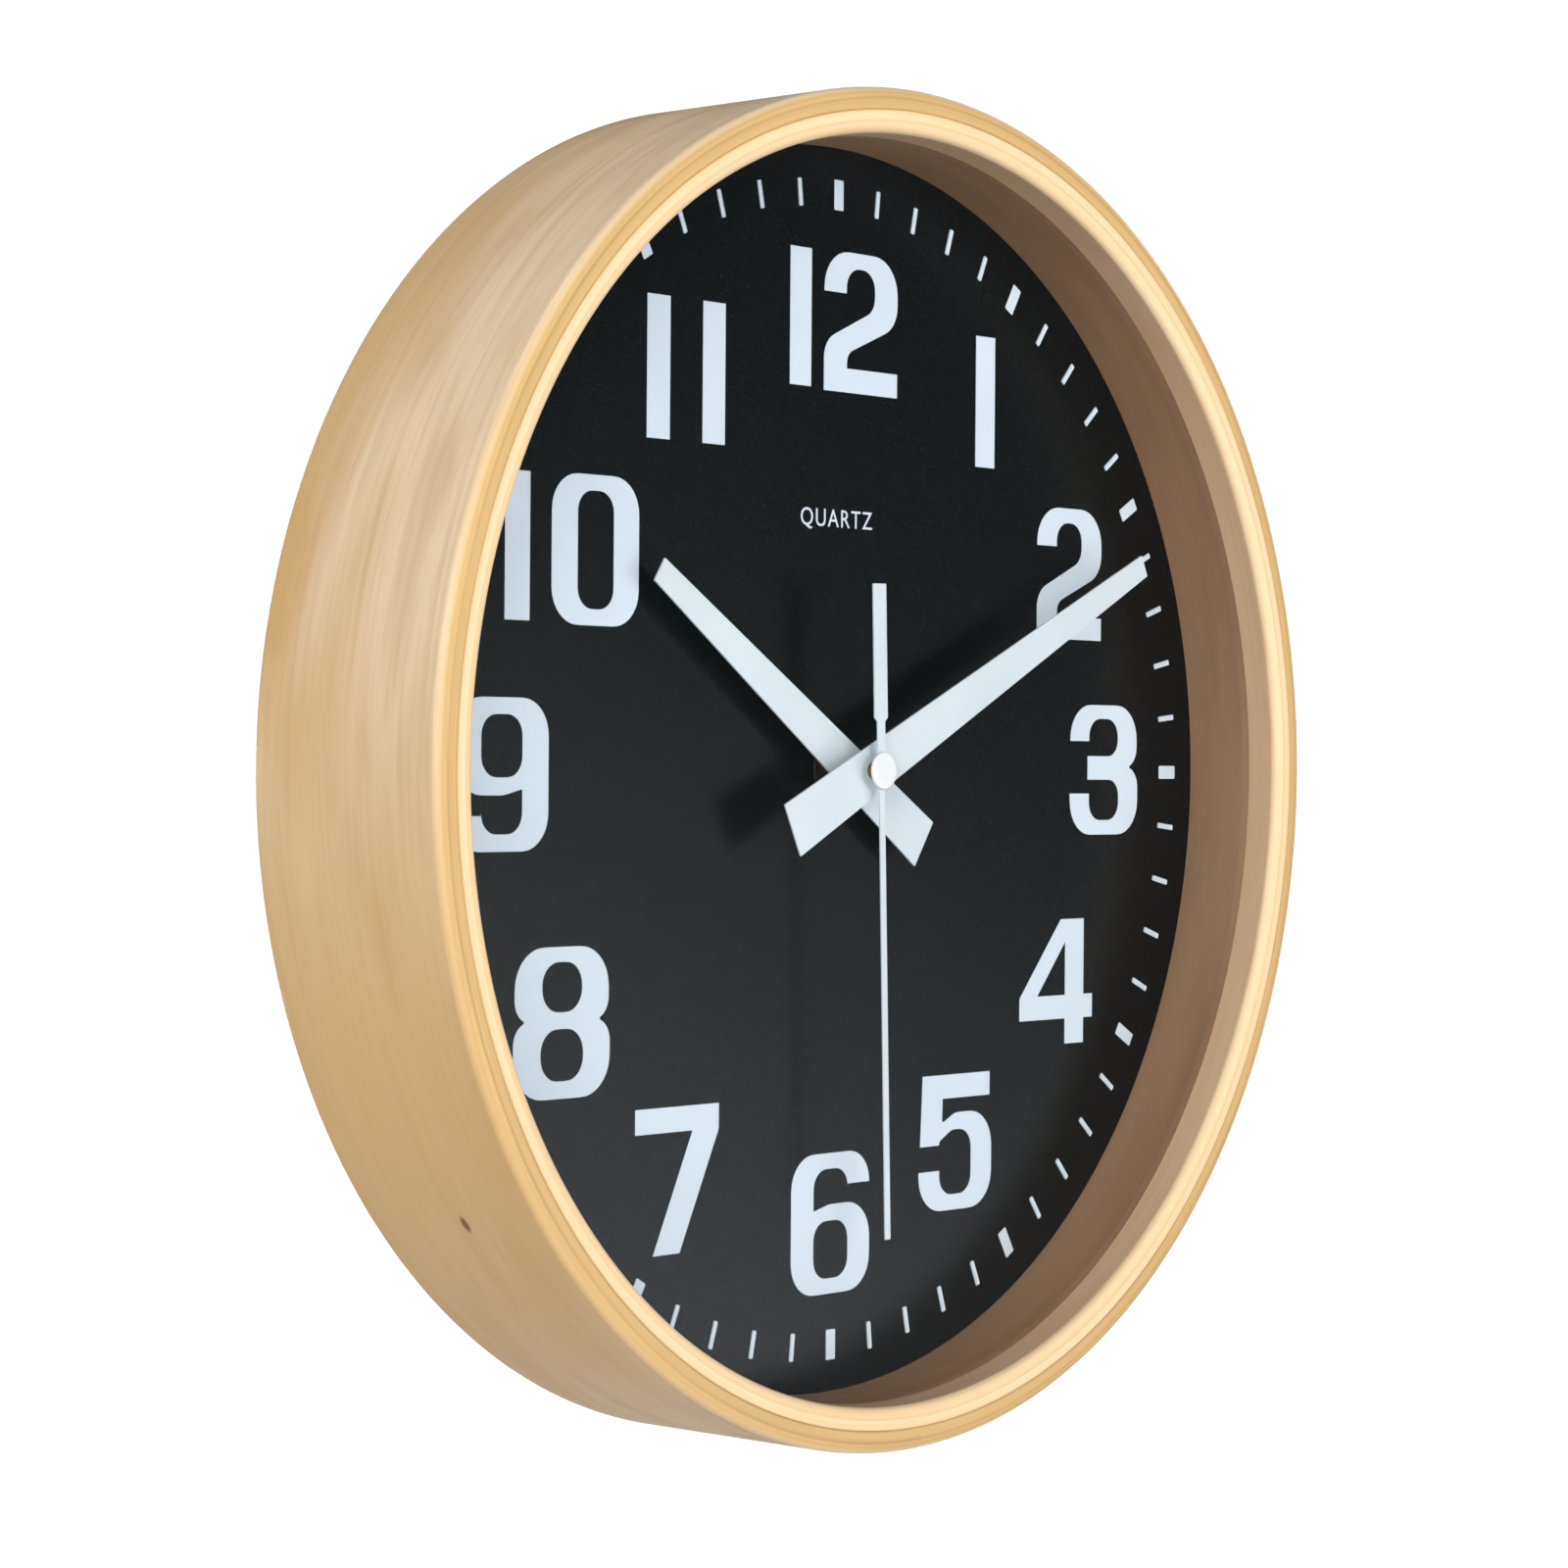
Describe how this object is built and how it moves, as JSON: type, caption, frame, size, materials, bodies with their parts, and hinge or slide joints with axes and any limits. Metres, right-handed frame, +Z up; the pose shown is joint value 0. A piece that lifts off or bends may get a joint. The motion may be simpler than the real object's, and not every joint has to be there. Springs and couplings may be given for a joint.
{
  "type": "wall clock",
  "caption": "Round wall clock with a deep bentwood case, flat glass, black dial, three tapered white hands and a battery movement on a keyhole hanger.",
  "frame": {"origin": "centre of the round part of the keyhole in the hanging plate, on the plate's wall side", "axes": "+Y towards the wall, so the dial faces -Y; +Z up; +X to the right as seen from the front"},
  "size_m": [0.3, 0.053, 0.3],
  "materials": {
    "bent_wood": "satin clear lacquer over pale veneer",
    "clear_glass": "polished",
    "black_dial": "satin black print",
    "fibreboard": "raw medium density board",
    "pine": "sawn",
    "zinc_steel": "zinc plated",
    "black_plastic": "moulded",
    "black_rubber": "matt",
    "bright_brass": "turned",
    "white_plastic": "moulded acetal",
    "motor_steel": "rolled",
    "copper_wire": "enamelled wire",
    "green_board": "solder mask",
    "can_metal": "drawn can",
    "nickel_strip": "nickel plated",
    "white_paint": "satin white",
    "white_gloss": "gloss white",
    "dark_magnet": "sintered",
    "battery_sleeve": "printed sleeve"
  },
  "bodies": {
    "case": {"outer_hoop": "bent_wood", "front_hoop": "bent_wood", "spacer_hoop": "bent_wood", "back_hoop": "bent_wood", "glass_lens": "clear_glass", "dial_face": "black_dial", "dial_board": "fibreboard", "back_panel": "fibreboard", "back_panel_screws": "zinc_steel", "hanger_plate": "zinc_steel", "hanger_block": "pine", "hanger_screws": "zinc_steel", "movement_front_case": "black_plastic", "movement_back_case": "black_plastic", "rubber_washer": "black_rubber", "flat_washer": "bright_brass", "hex_nut": "bright_brass", "gear_plate": "white_plastic", "stator": "motor_steel", "coil_core": "motor_steel", "coil_bobbin": "black_plastic", "coil_winding": "copper_wire", "circuit_board": "green_board", "driver_chip": "black_plastic", "quartz_crystal": "can_metal", "contact_negative": "nickel_strip", "contact_positive": "nickel_strip"},
    "second_hand_set": {"second_hand": "white_paint", "second_hand_tube": "bright_brass", "second_hand_cap": "white_gloss", "seconds_wheel": "white_plastic"},
    "intermediate_wheel_set": {"intermediate_wheel": "white_plastic"},
    "rotor": {"rotor_magnet": "dark_magnet", "rotor_pinion": "white_plastic"},
    "third_wheel_set": {"third_wheel": "white_plastic"},
    "centre_wheel_set": {"centre_wheel": "white_plastic"},
    "minute_hand_set": {"minute_hand": "white_paint", "minute_hand_bush": "bright_brass", "minute_pipe": "white_plastic"},
    "minute_wheel_set": {"minute_wheel": "white_plastic"},
    "hour_hand_set": {"hour_hand": "white_paint", "hour_hand_collet": "bright_brass", "hour_wheel": "white_plastic"},
    "setting_knob_set": {"setting_knob": "black_plastic"},
    "battery_cell": {"battery": "battery_sleeve"}
  },
  "joints": [
    {"name": "second_hand_spin", "type": "hinge", "parent": "case", "child": "second_hand_set", "pos_m": [0, 0, -0.116], "axis": [0, 1, 0], "continuous": true},
    {"name": "intermediate_wheel_spin", "type": "hinge", "parent": "case", "child": "intermediate_wheel_set", "pos_m": [0, 0, -0.107], "axis": [0, 1, 0], "continuous": true},
    {"name": "rotor_spin", "type": "hinge", "parent": "case", "child": "rotor", "pos_m": [0.00727, 0, -0.1028], "axis": [0, 1, 0], "continuous": true},
    {"name": "third_wheel_spin", "type": "hinge", "parent": "case", "child": "third_wheel_set", "pos_m": [0.00958, 0, -0.11251], "axis": [0, 1, 0], "continuous": true},
    {"name": "centre_wheel_spin", "type": "hinge", "parent": "case", "child": "centre_wheel_set", "pos_m": [0, 0, -0.116], "axis": [0, 1, 0], "continuous": true},
    {"name": "minute_hand_spin", "type": "hinge", "parent": "case", "child": "minute_hand_set", "pos_m": [0, 0, -0.116], "axis": [0, 1, 0], "continuous": true},
    {"name": "minute_wheel_spin", "type": "hinge", "parent": "case", "child": "minute_wheel_set", "pos_m": [-0.0096, 0, -0.116], "axis": [0, 1, 0], "continuous": true},
    {"name": "hour_hand_spin", "type": "hinge", "parent": "case", "child": "hour_hand_set", "pos_m": [0, 0, -0.116], "axis": [0, 1, 0], "continuous": true},
    {"name": "setting_knob_spin", "type": "hinge", "parent": "case", "child": "setting_knob_set", "pos_m": [-0.01809, 0, -0.10751], "axis": [0, 1, 0], "continuous": true},
    {"name": "battery_slide", "type": "slide", "parent": "case", "child": "battery_cell", "axis": [0, 1, 0], "range_m": [0, 0.025]}
  ],
  "couplings": [
    {"joint": "intermediate_wheel_spin", "follows": "second_hand_spin", "ratio": -5},
    {"joint": "rotor_spin", "follows": "second_hand_spin", "ratio": 30},
    {"joint": "third_wheel_spin", "follows": "second_hand_spin", "ratio": -0.13333},
    {"joint": "centre_wheel_spin", "follows": "second_hand_spin", "ratio": 0.016667},
    {"joint": "minute_wheel_spin", "follows": "minute_hand_spin", "ratio": -0.33333},
    {"joint": "hour_hand_spin", "follows": "minute_hand_spin", "ratio": 0.083333},
    {"joint": "setting_knob_spin", "follows": "minute_hand_spin", "ratio": 0.5}
  ]
}
